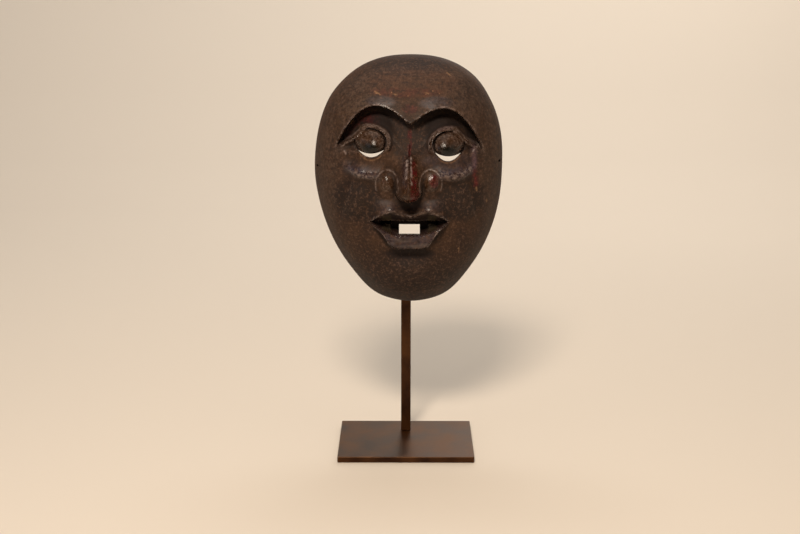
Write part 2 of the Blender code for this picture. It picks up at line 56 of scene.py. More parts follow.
BACKDROP_MIDDLE = (0.0, 1.6, 0.2)

bpy.ops.object.select_all(action="DESELECT")
camera_data = bpy.data.cameras.new("camera")
camera_data.sensor_width = SENSOR_MM
camera_data.lens = FOCAL_PIXELS / PHOTO_W * SENSOR_MM
camera = bpy.data.objects.new("camera", camera_data)
camera.location = CAMERA_AT
camera.rotation_euler = (pi / 2 - CAMERA_DOWN, 0.0, CAMERA_LEFT)
bpy.context.scene.collection.objects.link(camera)
bpy.context.scene.camera = camera


def linear(hex_colour):
    """An sRGB hex colour as linear RGBA."""
    parts = [int(hex_colour[i : i + 2], 16) / 255 for i in (1, 3, 5)]
    return (*(p / 12.92 if p <= 0.04045 else ((p + 0.055) / 1.055) ** 2.4 for p in parts), 1.0)


def soft_light(name, at, towards, size, power, colour):
    """A rectangular lamp that faces a place."""
    data = bpy.data.lights.new(name, "AREA")
    data.shape = "RECTANGLE"
    data.size, data.size_y = size
    data.energy = power
    data.color = linear(colour)[:3]
    lamp = bpy.data.objects.new(name, data)
    lamp.location = at
    lamp.rotation_euler = (Vector(towards) - Vector(at)).to_track_quat("-Z", "Y").to_euler()
    bpy.context.scene.collection.objects.link(lamp)


soft_light("key_softbox", (-0.16, -1.05, 1.20), MASK_MIDDLE, (0.34, 0.28), 19.0, "#ffeedb")
soft_light("top_softbox", (0.0, -0.1, 1.7), MASK_MIDDLE, (1.2, 1.0), 3.0, "#fff8f0")
soft_light("left_fill", (-1.5, -0.8, 0.6), MASK_MIDDLE, (0.9, 0.9), 2.0, "#f3f3ff")
soft_light("right_fill", (1.5, -0.6, 0.6), MASK_MIDDLE, (0.9, 0.9), 1.5, "#fff2e4")
soft_light("backdrop_light", (0.0, 0.9, 1.9), BACKDROP_MIDDLE, (1.8, 0.8), 16.0, "#ffffff")
soft_light("rear_fill", (0.5, 1.5, 0.9), MASK_MIDDLE, (1.0, 0.8), 7.0, "#fff6ec")

WORLD_COLOUR = "#f0dcc4"
WORLD_STRENGTH = 0.07
world = bpy.data.worlds.new("studio")
bpy.context.scene.world = world
world.use_nodes = True
world.node_tree.nodes["Background"].inputs["Color"].default_value = linear(WORLD_COLOUR)
world.node_tree.nodes["Background"].inputs["Strength"].default_value = WORLD_STRENGTH
bpy.context.scene.view_settings.view_transform = "Standard"

FLOOR_SIZE = 6.0
FLOOR_CUTS = 39
BACKDROP_START = 0.8
BACKDROP_CURVE = 1.0
bpy.ops.mesh.primitive_plane_add(size=FLOOR_SIZE)
floor = bpy.context.object
floor.name = "floor"
bpy.ops.object.mode_set(mode="EDIT")
bpy.ops.mesh.subdivide(number_cuts=FLOOR_CUTS)
bpy.ops.object.mode_set(mode="OBJECT")
for vertex in floor.data.vertices:
    vertex.co.z = max(0.0, vertex.co.y - BACKDROP_START) ** 2 / BACKDROP_CURVE
bpy.ops.object.shade_smooth()

# Matt photographer's paper, rolled down behind and under the stand
PAPER = "#e4d9ca"
PAPER_ROUGHNESS = 0.9
paper = bpy.data.materials.new("backdrop_paper")
paper.use_nodes = True
paper_shader = paper.node_tree.nodes["Principled BSDF"]
paper_shader.inputs["Base Color"].default_value = linear(PAPER)
paper_shader.inputs["Roughness"].default_value = PAPER_ROUGHNESS
floor.data.materials.append(paper)

# The base plate, the square post and the round cradle are mild steel, cut, welded and ground, then
# blackened hot and waxed. The plate lies flat; the post stands on it and carries the cradle.
# The blacking is a brown-black satin skin, cloudy from the rag, with bare lines on rubbed edges; its
# browner clouds also stand in for a painted reflection of warm surroundings.
STEEL_DARK = "#2c170a"
# The browner cloud colour: partly a painted warm reflection
STEEL_BROWN = "#52331a"
STEEL_RUBBED = "#6b5038"
STEEL_GLOSS = (0.30, 0.42)
CLOUD_MM = 22.0
RAG_MM = 1.4
EDGE_MM = 0.7
EDGE_BARELY_BENT, EDGE_SHARP = 0.995, 0.93

# Sockets by number: a map range takes the value, its range and the new range; a mix takes the share,
# then two numbers at 2 and 3 or two colours at 6 and 7


def add(tree, kind, inputs=None, stops=None, **settings):
    """Adds a shader node; each input is a value or the socket that feeds it, stops are a ramp's."""
    node = tree.nodes.new("ShaderNode" + kind)
    for name, value in settings.items():
        setattr(node, name, value)
    for name, value in (inputs or {}).items():
        if isinstance(value, bpy.types.NodeSocket):
            tree.links.new(value, node.inputs[name])
        else:
            node.inputs[name].default_value = value
    for i, (position, colour) in enumerate(stops or ()):
        ramp = node.color_ramp
        element = ramp.elements[i] if i < len(ramp.elements) else ramp.elements.new(position)
        element.position = position
        element.color = linear(colour)
    return node


steel = bpy.data.materials.new("blackened_waxed_steel")
steel.use_nodes = True
tree = steel.node_tree
shader = tree.nodes["Principled BSDF"]
place = add(tree, "TexCoord").outputs["Object"]
cloud = add(tree, "TexNoise", {"Vector": place, "Scale": 1000 / CLOUD_MM, "Detail": 5.0}).outputs[0]
rag = add(tree, "TexNoise", {"Vector": place, "Scale": 1000 / RAG_MM, "Detail": 3.0}).outputs[0]
skin = add(tree, "ValToRGB", {0: cloud}, [(0.35, STEEL_DARK), (0.68, STEEL_BROWN)]).outputs[0]
edges = add(tree, "Bevel", {"Radius": EDGE_MM / 1000}, samples=6).outputs[0]
flat = add(tree, "NewGeometry").outputs["Normal"]
turned = add(tree, "VectorMath", {0: edges, 1: flat}, operation="DOT_PRODUCT").outputs["Value"]
rubbed_and_glints = add(tree, "MapRange", {0: turned, 1: EDGE_BARELY_BENT, 2: EDGE_SHARP, 3: 0.0, 4: 1.0}).outputs[0]
rubbed_and_glints = add(tree, "Math", {0: rubbed_and_glints, 1: rag}, operation="MULTIPLY").outputs[0]
skin = add(tree, "Mix", {0: rubbed_and_glints, 6: skin, 7: linear(STEEL_RUBBED)}, data_type="RGBA").outputs[2]
tree.links.new(skin, shader.inputs["Base Color"])
gloss = add(
    tree, "MapRange", {0: cloud, 1: 0.3, 2: 0.7, 3: STEEL_GLOSS[0], 4: STEEL_GLOSS[1]}
).outputs[0]
tree.links.new(gloss, shader.inputs["Roughness"])
shader.inputs["Metallic"].default_value = 0.6
shader.inputs["Specular IOR Level"].default_value = 0.2
dents = add(tree, "Bump", {"Height": rag, "Strength": 0.1, "Distance": 0.0002}).outputs[0]
tree.links.new(dents, shader.inputs["Normal"])

for stand_piece in ("base_plate", "post", "cradle"):
    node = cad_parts[stand_piece]
    node.data.materials.clear()
    node.data.materials.append(steel)

# The mask is one block of light close-grained wood, carved outside with knife and gouge and hollowed
# behind, then blackened with soot and oil, in places over old red paint, and worn to a waxy brown.
# It hangs on the cradle by its own weight; a cord once went through the holes beside its cheeks.
MASK_H = 0.199
MASK_W = 0.1496
WALL = 0.008
CHIN_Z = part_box("mask")[0].z
RIM_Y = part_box("mask")[1].y
MASK_X = 0.0026

# Carving, in carving millimetres: the mask is 199 of them tall, whatever its height is
CARVED_H = 199.0
MM = MASK_H / CARVED_H
WALL_MM = WALL / MM

# The egg-shaped outline, widest at WIDEST_H, a little squarer CHIN_CORNER_ANGLE degrees from its chin
WIDEST_H = 110.0
HALF_W = MASK_W / 2 / MM
CROWN_POWER = 2.35
CHIN_POWER = 1.89
CHIN_CORNER, CHIN_CORNER_ANGLE, CHIN_CORNER_SPREAD = 0.02, 16.5, 9.0
DOME = 51.0
DOME_POWER_CROWN = 2.6
DOME_POWER_CHIN = 3.3

# The middle line sways as it goes up the face: how far, and the height and length of each sway
CROWN_SWAY, CROWN_SWAY_H, CROWN_SWAY_L = 1.1, 165.0, 20.0
CHEEK_SWAY, CHEEK_SWAY_H, CHEEK_SWAY_L = -0.8, 108.0, 22.0
CHIN_SWAY, CHIN_SWAY_H = 1.2, 95.0

# The eye and brow on the picture's right are carved a little lower, turning over EYE_SKEW_W
EYE_SKEW = 1.0
EYE_SKEW_W = 10.0

# Brow: a sharp edge over a deep hollow, one arch each side that peaks at BROW_PEAK_U
BROW_END_H = 134.0
BROW_RISE = 29.3
BROW_PEAK_U = 26.0
BROW_REACH_IN = 36.8
BROW_REACH_OUT = 30.0
BROW_V_ROUND = 3.0
BROW_STEP_W = 2.2
BROW_BAND, BROW_BAND_W = 2.6, 9.0
BROW_TAIL_U, BROW_TAIL_L = 50.0, 8.0
HOLLOW, HOLLOW_FROM, HOLLOW_L = 8.5, 5.5, 14.0
SOCKET, SOCKET_FROM, SOCKET_L = 2.8, 20.0, 14.0
SOCKET_END_U, SOCKET_END_L = 45.0, 14.0
ROOT_FROM, ROOT_L = 2.0, 13.0
ROOT_SHARE = 0.35

# Eye: ball, lid ridge with its tail to the outer corner, and the pouch of the bag under it
EYE_U = 30.0
EYE_H = 136.8
BALL = (EYE_U, EYE_H - 0.6, 11.3, 9.2, 6.2)
BALL_ROUNDNESS = 0.47
BALL_GROOVE, BALL_GROOVE_W, BALL_GROOVE_OUT = -1.8, 0.9, 0.8
EYE_SWELL = (EYE_U, EYE_H - 2.0, 17.0, 14.0, 2.5)
LID = (EYE_U - 0.2, EYE_H - 1.2, 14.2, 11.7, 4.8)
LID_IN_W, LID_OUT_W = 1.9, 1.8
LID_FOOT_H, LID_FOOT_L = EYE_H - 9.0, 7.0
LID_END_U, LID_END_L = EYE_U + 6.0, 4.0
LID_TAIL = (
    (EYE_U + 4.0, EYE_H + 9.8),
    (EYE_U + 13.4, EYE_H + 1.2),
    (EYE_U + 22.4, EYE_H - 4.2),
)
LID_TAIL_W = 1.8
LID_TAIL_FALL, LID_TAIL_FALL_L = 0.55, 16.0
EYE_CORNER = (EYE_U + 14.5, EYE_H - 5.0, 7.5, 3.4, -3.2)
HOLLOW_FOOT = (
    (24.0, EYE_H - 14.0),
    (36.0, EYE_H + 1.0),
    (41.0, EYE_H + 1.0),
    (47.0, EYE_H - 2.8),
    (53.0, EYE_H - 7.6),
    (60.0, EYE_H - 11.0),
)
HOLLOW_FOOT_L = 5.0
BAG_OVAL = (EYE_U + 2.0, EYE_H - 10.0, 18.5, 16.3)
BAG, BAG_IN_W, BAG_OUT_W = 4.6, 9.0, 3.8
BAG_INNER_U, BAG_INNER_L = EYE_U - 15.0, 9.0
BAG_OUTER_H, BAG_OUTER_L = EYE_H - 14.0, 10.0

# See-through slit under each ball: its ends, and how far its edges sag between them
SLIT_IN = EYE_U - 10.8
SLIT_OUT = EYE_U + 9.6
SLIT_END_H = EYE_H - 8.0
SLIT_UPPER_SAG = 3.0
SLIT_LOWER_SAG = 6.2
SLIT_SKEW = 0.5
SLIT_TILT = 9.0
SLIT_CUT_DEPTH = 0.75 * DOME

# Nose: its ridge at each height above the tip, sharp near the root and round at the tip
NOSE_U = -0.6
NOSE_TIP_H = 99.5
NOSE_ROOT_H = NOSE_TIP_H + 44.0
NOSE_BASE_H = NOSE_TIP_H - 8.5
NOSE_RIDGE = (
    (0.0, 23.0),
    (5.0, 22.8),
    (11.0, 19.8),
    (18.0, 14.4),
    (26.0, 8.0),
    (33.0, 3.2),
    (39.0, 0.8),
    (44.0, 0.0),
)
NOSE_HALF = ((0.0, 10.6), (6.0, 11.2), (14.0, 12.4), (24.0, 13.0), (34.0, 11.5), (44.0, 8.0))
NOSE_TENT, NOSE_TENT_FOOT = 1.1, 1.45
NOSE_ROUND, NOSE_ROUND_FOOT = 1.8, 0.85
NOSE_ROUND_FROM, NOSE_ROUND_L = NOSE_TIP_H + 13.0, 15.0
NOSE_UNDER = 2.0

# The nostril wings beside it, each a low dome inside a thin ring
WING = (16.7, NOSE_TIP_H + 5.4, 8.7, 11.4, 3.4)
WING_ROUNDNESS = 1.0
WING_RING, WING_RING_W = 1.0, 0.7
BEAD = (16.7, NOSE_TIP_H + 6.2, 5.8, 7.2, 1.5)
BEAD_ROUNDNESS = 1.3

# Mouth, by the distance from its middle: the upper lip's edge, the floor and the lower lip's foot
LIP_H = 80.8
MOUTH_CORNER_H = LIP_H - 5.4
LIP_EDGE = (
    (0.0, LIP_H),
    (6.0, LIP_H + 1.0),
    (14.0, LIP_H + 3.9),
    (20.5, LIP_H + 1.6),
    (31.0, MOUTH_CORNER_H),
)
CAVITY_TOP = LIP_H - 4.8
CAVITY_FLOOR = LIP_H - 15.6
FLOOR_EDGE = (
    (0.0, CAVITY_FLOOR),
    (9.0, CAVITY_FLOOR + 0.2),
    (15.0, CAVITY_FLOOR + 1.6),
    (21.0, CAVITY_FLOOR + 4.6),
    (31.0, MOUTH_CORNER_H),
)
LOWER_LIP_BASE = LIP_H - 27.1
FOOT_EDGE = (
    (0.0, LOWER_LIP_BASE),
    (8.0, LOWER_LIP_BASE + 0.2),
    (13.0, LOWER_LIP_BASE + 1.9),
    (17.0, LOWER_LIP_BASE + 6.2),
    (21.0, LOWER_LIP_BASE + 11.8),
    (25.5, LOWER_LIP_BASE + 16.4),
    (31.0, MOUTH_CORNER_H - 0.8),
)
MOUTH_END_U, MOUTH_END_L = 26.5, 6.0
CAVITY_EDGE_W = 2.0
CAVITY_END_U, CAVITY_END_L = 20.0, 8.0
CAVITY = 11.0
UPPER_LIP, UPPER_LIP_W, UPPER_LIP_TUCK = 4.5, 4.0, 1.5
LOWER_LIP = 7.0
LOWER_LIP_EDGE_W = 1.8
LOWER_LIP_LEAN, LOWER_LIP_LEAN_L = 0.30, 11.0
LOWER_LIP_INSET = 0.4
TOOTH_IN, TOOTH_OUT, TOOTH_HIGH, TOOTH = 13.6, 21.5, LIP_H - 7.4, 5.0
TOOTH_EDGE_W = 1.3
MOUTH_OPENING_W = 16.2
MOUTH_OPENING_H = 7.4
MOUTH_OPENING_AT = LIP_H - 12.3
MOUTH_TILT = 11.6
MOUTH_CUT_DEPTH = 0.85 * DOME

# Soft forms on each side of the middle: u, h, half width, half height and rise
CHEEK = (42.0, 92.0, 15.0, 14.0, 3.0)
CHIN = (0.0, 31.0, 24.0, 17.0, 5.0)
UNDER_LIP = (0.0, LOWER_LIP_BASE - 5.0, 19.0, 7.0, -3.0)
PHILTRUM = (0.0, LIP_H + 6.5, 4.5, 5.5, -1.8)
LIP_LOBE = (19.0, LIP_H + 7.2, 9.5, 5.5, 3.0)
FOLD_LINE = ((26.0, 99.0), (36.0, 78.0))
FOLD, FOLD_W = -1.5, 7.0

# The same for the hollowed back: left thicker behind brows and mouth, dug deeper behind the nose
BACK_FORMS = (
    (BROW_PEAK_U + 4.0, BROW_END_H + 17.5, 26.0, 18.0, -9.5),
    (0.0, NOSE_TIP_H + 43.5, 19.0, 13.0, -8.0),
    (0.0, CAVITY_FLOOR + 6.8, 32.0, 13.0, -12.0),
    (0.0, NOSE_TIP_H + 8.5, 8.0, 12.0, 7.0),
    (0.0, 32.0, 20.0, 14.0, 3.0),
)
RELIEF_END, BACK_END = 0.86, 0.80
RELIEF_FADE, BACK_FADE = 0.12, 0.18

# Tie holes beside the cheeks: height on the left and on the right, and how near the rim
TIE_HEIGHTS = {-1.0: 114.0, 1.0: 118.0}
TIE_REACH = 0.955
TIE_HOLE_R = 0.001


def smooth(x):
    """An eased step from 0 at x = 0 to 1 at x = 1."""
    x = np.clip(x, 0.0, 1.0)
    return x * x * (3.0 - 2.0 * x)


def bell(x):
    return np.exp(-x * x)


def through(x, stops):
    """The height at x of a smooth curve drawn through the stops."""
    at, height = np.array(stops).T
    slope = np.gradient(height, at)
    left = np.clip(np.searchsorted(at, x) - 1, 0, len(at) - 2)
    width = at[left + 1] - at[left]
    rise = height[left + 1] - height[left]
    start, end = slope[left] * width, slope[left + 1] * width
    t = np.clip((x - at[left]) / width, 0.0, 1.0)
    bend = 3.0 * rise - 2.0 * start - end
    return height[left] + t * (start + t * (bend + t * (start + end - 2.0 * rise)))


def oval(u, h, centre_u, centre_h, half_u, half_h):
    """Distance from an ellipse's centre, 1 on the ellipse."""
    return np.hypot((u - centre_u) / half_u, (h - centre_h) / half_h)


def mound(u, h, form):
    """A soft swelling or hollow: u, h, half width, half height and rise."""
    *where, rise = form
    return rise * bell(oval(u, h, *where))


def half_ball(u, h, form, roundness):
    """A ball's outer part standing on the same five sizes; more roundness softens its foot."""
    *where, rise = form
    return rise * np.clip(1.0 - oval(u, h, *where) ** 2, 0.0, None) ** roundness


def from_segment(u, h, start, end):
    """Distance to a straight segment, and how far along it the nearest point lies."""
    du, dh = end[0] - start[0], end[1] - start[1]
    along = np.clip(((u - start[0]) * du + (h - start[1]) * dh) / (du * du + dh * dh), 0.0, 1.0)
    return np.hypot(u - start[0] - along * du, h - start[1] - along * dh), along


def sway(h):
    """How far the face's middle line is carved to one side at a height."""
    crown = CROWN_SWAY * smooth((h - CROWN_SWAY_H) / CROWN_SWAY_L)
    cheeks = CHEEK_SWAY * bell((h - CHEEK_SWAY_H) / CHEEK_SWAY_L)
    return crown + cheeks + CHIN_SWAY * smooth((CHIN_SWAY_H - h) / CHIN_SWAY_H)


def outline_radius(angle):
    """From the middle of the face to the rim's outer edge."""
    upper = np.sin(angle) > 0.0
    half_h = np.where(upper, CARVED_H - WIDEST_H, WIDEST_H)
    power = np.where(upper, CROWN_POWER, CHIN_POWER)
    across = np.abs(np.cos(angle)) / HALF_W
    up = np.abs(np.sin(angle)) / half_h
    from_chin = np.degrees(np.arccos(-np.sin(angle)))
    corner = CHIN_CORNER * bell((from_chin - CHIN_CORNER_ANGLE) / CHIN_CORNER_SPREAD)
    return (across**power + up**power) ** (-1.0 / power) * (1.0 + corner)


def dome(reach, angle, rise):
    """A dome over the outline, standing square to the rim; reach is 1 at the rim."""
    power = DOME_POWER_CROWN + (DOME_POWER_CHIN - DOME_POWER_CROWN) * smooth(-np.sin(angle))
    return rise * np.sqrt(np.clip(1.0 - reach**power, 0.0, None))


def below_brow(u, h):
    """Distance below the brow's sharp edge; negative above it."""
    a = np.hypot(u, BROW_V_ROUND)
    reach = np.where(a < BROW_PEAK_U, BROW_REACH_IN, BROW_REACH_OUT)
    turn = (a - BROW_PEAK_U) / reach
    edge = BROW_END_H + BROW_RISE * (1.0 - turn**2)
    return (edge - h) / np.hypot(1.0, 2.0 * BROW_RISE * turn / reach)


def brow_relief(u, h):
    a = np.abs(u)
    below = below_brow(u, h)
    step = smooth(below / BROW_STEP_W)
    hollow = HOLLOW * (1.0 - smooth((below - HOLLOW_FROM) / HOLLOW_L))
    socket = SOCKET * (1.0 - smooth((below - SOCKET_FROM) / SOCKET_L))
    root = ROOT_SHARE + (1.0 - ROOT_SHARE) * smooth((a - ROOT_FROM) / ROOT_L)
    band = BROW_BAND * bell(below / BROW_BAND_W) * (1.0 - step)
    tail = 1.0 - smooth((a - BROW_TAIL_U) / BROW_TAIL_L)
    foot = smooth((h - through(a, HOLLOW_FOOT)) / HOLLOW_FOOT_L)
    socket *= 1.0 - smooth((a - SOCKET_END_U) / SOCKET_END_L)
    return tail * foot * (band - hollow * step * root) - socket * step


def eye_relief(u, h):
    a = np.abs(u)
    beyond_ball = (oval(a, h, *BALL[:4]) - 1.0) * BALL[2]
    groove = BALL_GROOVE * bell((beyond_ball - BALL_GROOVE_OUT) / BALL_GROOVE_W)
    beyond_lid = (oval(a, h, *LID[:4]) - 1.0) * LID[2]
    lid = LID[4] * bell((beyond_lid / np.where(beyond_lid < 0.0, LID_IN_W, LID_OUT_W)) ** 2)
    lid *= smooth((h - LID_FOOT_H) / LID_FOOT_L) * (1.0 - smooth((a - LID_END_U) / LID_END_L))
    away = np.minimum.reduce([from_segment(a, h, p, q)[0] for p, q in zip(LID_TAIL, LID_TAIL[1:])])
    tail = LID[4] * (1.0 - LID_TAIL_FALL * smooth((a - LID_END_U) / LID_TAIL_FALL_L))
    tail *= bell((away / LID_TAIL_W) ** 2)
    ball_or_lid = np.maximum(half_ball(a, h, BALL, BALL_ROUNDNESS), np.maximum(lid, tail))
    beyond_bag = (oval(a, h, *BAG_OVAL) - 1.0) * BAG_OVAL[3]
    bag = BAG * bell(beyond_bag / np.where(beyond_bag < 0.0, BAG_IN_W, BAG_OUT_W))
    bag *= smooth((a - BAG_INNER_U) / BAG_INNER_L) * smooth((BAG_OUTER_H - h) / BAG_OUTER_L)
    return mound(a, h, EYE_SWELL) + mound(a, h, EYE_CORNER) + ball_or_lid + groove + bag


def nose_relief(u, h):
    above = np.clip(h - NOSE_TIP_H, 0.0, NOSE_ROOT_H - NOSE_TIP_H)
    under = np.clip((NOSE_TIP_H - h) / (NOSE_TIP_H - NOSE_BASE_H), 0.0, 1.0)
    rounded = smooth((NOSE_ROUND_FROM - h) / NOSE_ROUND_L)
    side = np.clip(np.abs(u - NOSE_U) / through(above, NOSE_HALF), 0.0, 1.0)
    crest = NOSE_TENT + (NOSE_ROUND - NOSE_TENT) * rounded
    foot = NOSE_TENT_FOOT + (NOSE_ROUND_FOOT - NOSE_TENT_FOOT) * rounded
    section = np.clip(1.0 - side**crest - under**NOSE_UNDER, 0.0, None)
    return through(above, NOSE_RIDGE) * section**foot


def nostril_relief(u, h):
    a = np.abs(u - NOSE_U)
    beyond = (oval(a, h, *WING[:4]) - 1.0) * WING[2]
    ring = WING_RING * bell(beyond / WING_RING_W) * smooth((h - WING[1] + WING[3]) / WING[3])
    return half_ball(a, h, WING, WING_ROUNDNESS) + half_ball(a, h, BEAD, BEAD_ROUNDNESS) + ring


def mouth_lines(u):
    """Heights of the upper lip's edge and underside, the cavity's floor and the lower lip's foot."""
    a = np.abs(u)
    edge = through(a, LIP_EDGE)
    top = np.minimum(CAVITY_TOP, edge - CAVITY_EDGE_W / 2)
    return edge, top, through(a, FLOOR_EDGE), through(a, FOOT_EDGE)


def mouth_relief(u, h):
    a = np.abs(u)
    edge, top, floor, foot = mouth_lines(u)
    under = smooth((edge - h) / np.maximum(edge - top, CAVITY_EDGE_W))
    over = bell((h - edge) / UPPER_LIP_W)
    upper_lip = UPPER_LIP * np.where(h > edge, over, 1.0 - UPPER_LIP_TUCK * under)
    behind = UPPER_LIP * (1.0 - UPPER_LIP_TUCK) * smooth((h - floor) / CAVITY_EDGE_W)
    upper_lip = np.where(h > top, upper_lip, behind)
    inside = smooth((top - h) / CAVITY_EDGE_W) * smooth((h - floor) / CAVITY_EDGE_W)
    cavity = -CAVITY * inside * (1.0 - smooth((a - CAVITY_END_U) / CAVITY_END_L))
    tooth = TOOTH * smooth((a - TOOTH_IN) / TOOTH_EDGE_W) * smooth((TOOTH_OUT - a) / TOOTH_EDGE_W)
    tooth *= inside * smooth((TOOTH_HIGH - h) / TOOTH_EDGE_W)
    lean = 1.0 - LOWER_LIP_LEAN * smooth((h - foot) / LOWER_LIP_LEAN_L)
    lower_lip = LOWER_LIP * lean * smooth((h - foot) / LOWER_LIP_EDGE_W)
    lower_lip *= 1.0 - smooth((h - floor + LOWER_LIP_INSET) / CAVITY_EDGE_W)
    return (1.0 - smooth((a - MOUTH_END_U) / MOUTH_END_L)) * (upper_lip + cavity + tooth + lower_lip)


def soft_relief(u, h):
    """Cheeks, chin, the lobes over the upper lip, the groove between them and the folds beside."""
    a = np.abs(u)
    away, _ = from_segment(a, h, *FOLD_LINE)
    forms = (CHEEK, CHIN, UNDER_LIP, PHILTRUM, LIP_LOBE)
    return sum(mound(a, h, form) for form in forms) + FOLD * bell(away / FOLD_W)


def outer_depth(u, h, reach, angle):
    skewed = h + EYE_SKEW * np.tanh(u / EYE_SKEW_W)
    relief = brow_relief(u, skewed) + eye_relief(u, skewed) + nose_relief(u, h)
    relief += nostril_relief(u, h) + mouth_relief(u, h) + soft_relief(u, h)
    return dome(reach, angle, DOME) + relief * (1.0 - smooth((reach - RELIEF_END) / RELIEF_FADE))


def inner_depth(u, h, reach, angle):
    shape = sum(mound(np.abs(u), h, form) for form in BACK_FORMS)
    return dome(reach, angle, DOME - WALL_MM) + shape * (1.0 - smooth((reach - BACK_END) / BACK_FADE))


def on_face(reach, angle, inner=False):
    """Carving coordinates u, h and depth of a place on the outer or the inner surface."""
    radius = outline_radius(angle) - (WALL_MM if inner else 0.0)
    h = WIDEST_H + reach * radius * np.sin(angle)
    u = reach * radius * np.cos(angle) + sway(h)
    depth = inner_depth if inner else outer_depth
    return u, h, depth(u, h, reach, angle)


def to_world(u, h, depth):
    return Vector((MASK_X + MM * u, RIM_Y - MM * depth, CHIN_Z + MM * h))


# What knife, brush and wear left: the lid's double line, the crack down the nose and small chips
LID_LINE, LID_LINE_W, LID_LINE_IN = -1.1, 0.5, 0.1
NOSE_CRACK = ((0.2, 134.0), (-0.3, 127.0), (0.2, 120.0), (0.0, 110.0))
NOSE_CRACK_D, NOSE_CRACK_W = -1.3, 0.5
CHIPS = (
    ((-26.0, 173.6), (-23.5, 172.6), 0.55),
    ((-12.0, 172.3), (-10.0, 172.0), 0.5),
    ((12.0, 173.2), (14.0, 172.6), 0.5),
    ((28.6, 187.0), (31.4, 184.8), 0.4),
    ((38.2, 52.6), (38.8, 50.2), 0.4),
    ((60.0, 90.0), (60.3, 87.6), 0.35),
    ((-45.5, 148.5), (-43.5, 151.0), 0.4),
    ((51.4, 100.4), (52.0, 98.4), 0.6),
)
CHIP_D = -0.3

# Tool marks: their depth, their size, how much taller than wide they are, and a seed
GOUGE = (0.20, 9.0, 1.6, 3.0)
KNIFE = (0.10, 3.8, 1.4, 7.0)
PITTING = (0.06, 2.0, 1.0, 11.0)
HOLLOW_GOUGE = (0.50, 13.5, 1.5, 5.0)
MARKS_END, MARKS_FADE = 0.93, 0.06


def tool_marks(u, h, marks):
    """How far uneven cuts raise or lower the surface over the face."""
    depth, size, stretch, seed = marks
    flat = zip(np.ravel(u) / size, np.ravel(h) / stretch / size)
    values = [noise.noise((x, y, seed)) for x, y in flat]
    return depth * np.array(values).reshape(np.shape(u))


def chip_depth(u, h):
    """How much of a chip is at a place, 1 in its middle."""
    return sum(bell(from_segment(u, h, start, end)[0] / width) for start, end, width in CHIPS)


def from_path(u, h, stops):
    """Distance to a line of straight pieces through the stops."""
    return np.minimum.reduce([from_segment(u, h, p, q)[0] for p, q in zip(stops, stops[1:])])


def hand_relief(u, h):
    a = np.abs(u)
    skewed = h + EYE_SKEW * np.tanh(u / EYE_SKEW_W)
    beyond_lid = (oval(a, skewed, *LID[:4]) - 1.0) * LID[2]
    on_lid = smooth((skewed - LID_FOOT_H) / LID_FOOT_L) * (1.0 - smooth((a - LID_END_U) / LID_END_L))
    relief = LID_LINE * bell((beyond_lid + LID_LINE_IN) / LID_LINE_W) * on_lid
    relief += NOSE_CRACK_D * bell(from_path(u, h, NOSE_CRACK) / NOSE_CRACK_W)
    relief += CHIP_D * chip_depth(u, h)
    for marks in (GOUGE, KNIFE, PITTING):
        relief += tool_marks(u, h, marks)
    return relief


# The block is a sphere whose front half becomes the carved face and whose back half the hollow
SEGMENTS = 400
FRONT_RINGS = 208
BACK_RINGS = 36
RINGS = FRONT_RINGS + BACK_RINGS
bpy.ops.object.select_all(action="DESELECT")
bpy.ops.mesh.primitive_uv_sphere_add(segments=SEGMENTS, ring_count=RINGS)
mask = bpy.context.object
mask.name = "carved_mask"
sphere = np.array([vertex.co[:] for vertex in mask.data.vertices])
ring = np.rint(np.arccos(np.clip(sphere[:, 2], -1.0, 1.0)) / pi * RINGS)
angle = np.arctan2(sphere[:, 1], sphere[:, 0])
front_reach = np.sin(np.minimum(ring / FRONT_RINGS, 1.0) * pi / 2)
back_reach = np.sin(np.clip((RINGS - ring) / (BACK_RINGS - 1), 0.0, 1.0) * pi / 2)
outside = np.stack(on_face(front_reach, angle))
outside[2] += hand_relief(outside[0], outside[1]) * (1.0 - smooth((front_reach - MARKS_END) / MARKS_FADE))
inside = np.stack(on_face(back_reach, angle, inner=True))
gouged = tool_marks(inside[0], inside[1], HOLLOW_GOUGE)
inside[2] += gouged * (1.0 - smooth((back_reach - BACK_END) / BACK_FADE))
carved = np.where(ring > FRONT_RINGS, inside, outside)
for vertex, (u, h, depth) in zip(mask.data.vertices, carved.T):
    vertex.co = to_world(u, h, depth)


def cut_out(cutter):
    """Cuts the mask with a closed shape and takes the shape away."""
    cutting = mask.modifiers.new("cut", "BOOLEAN")
    cutting.operation = "DIFFERENCE"
    cutting.object = cutter
    bpy.ops.object.select_all(action="DESELECT")
    bpy.context.view_layer.objects.active = mask
    mask.select_set(True)
    bpy.ops.object.modifier_apply(modifier=cutting.name)
    bpy.data.objects.remove(cutter)


